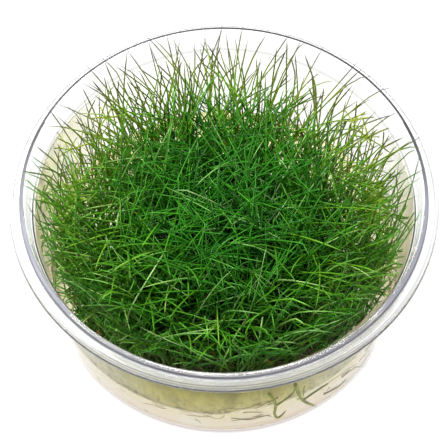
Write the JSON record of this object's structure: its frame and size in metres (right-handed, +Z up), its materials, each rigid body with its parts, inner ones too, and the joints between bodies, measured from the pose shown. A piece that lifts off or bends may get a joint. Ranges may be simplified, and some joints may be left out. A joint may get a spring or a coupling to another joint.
{
  "type": "dwarf hairgrass in a culture cup",
  "caption": "Dense turf of dwarf hairgrass rooted in nutrient gel in a clear, lidless, round plastic culture cup; an aquarium carpet plant before planting out.",
  "frame": {"origin": "middle of the cup's flat underside, on the surface that the cup stands on", "axes": "+Z up along the cup's axis; -Y towards the side from which the picture was taken"},
  "size_m": [0.095, 0.095, 0.0496],
  "materials": {
    "clear_plastic": "clear moulded plastic, glossy, with a faint milky haze",
    "gel": "translucent set nutrient gel, tan, wet surface",
    "grass": "living grass blades, satin, mid green with pale ridges and yellow-green bases"
  },
  "bodies": {
    "root": {"cup": "clear_plastic", "nutrient_gel": "gel", "tuft_01": "grass", "tuft_02": "grass", "tuft_03": "grass", "tuft_04": "grass", "tuft_05": "grass", "tuft_06": "grass", "tuft_07": "grass", "tuft_08": "grass", "tuft_09": "grass", "tuft_10": "grass", "tuft_11": "grass", "tuft_12": "grass", "tuft_13": "grass", "tuft_14": "grass", "tuft_15": "grass", "tuft_16": "grass", "tuft_17": "grass", "tuft_18": "grass", "tuft_19": "grass", "tuft_20": "grass", "tuft_21": "grass", "tuft_22": "grass", "tuft_23": "grass", "tuft_24": "grass", "tuft_25": "grass", "tuft_26": "grass", "tuft_27": "grass", "tuft_28": "grass", "tuft_29": "grass", "tuft_30": "grass", "tuft_31": "grass", "tuft_32": "grass", "tuft_33": "grass", "tuft_34": "grass", "tuft_35": "grass", "tuft_36": "grass", "tuft_37": "grass"}
  },
  "joints": []
}
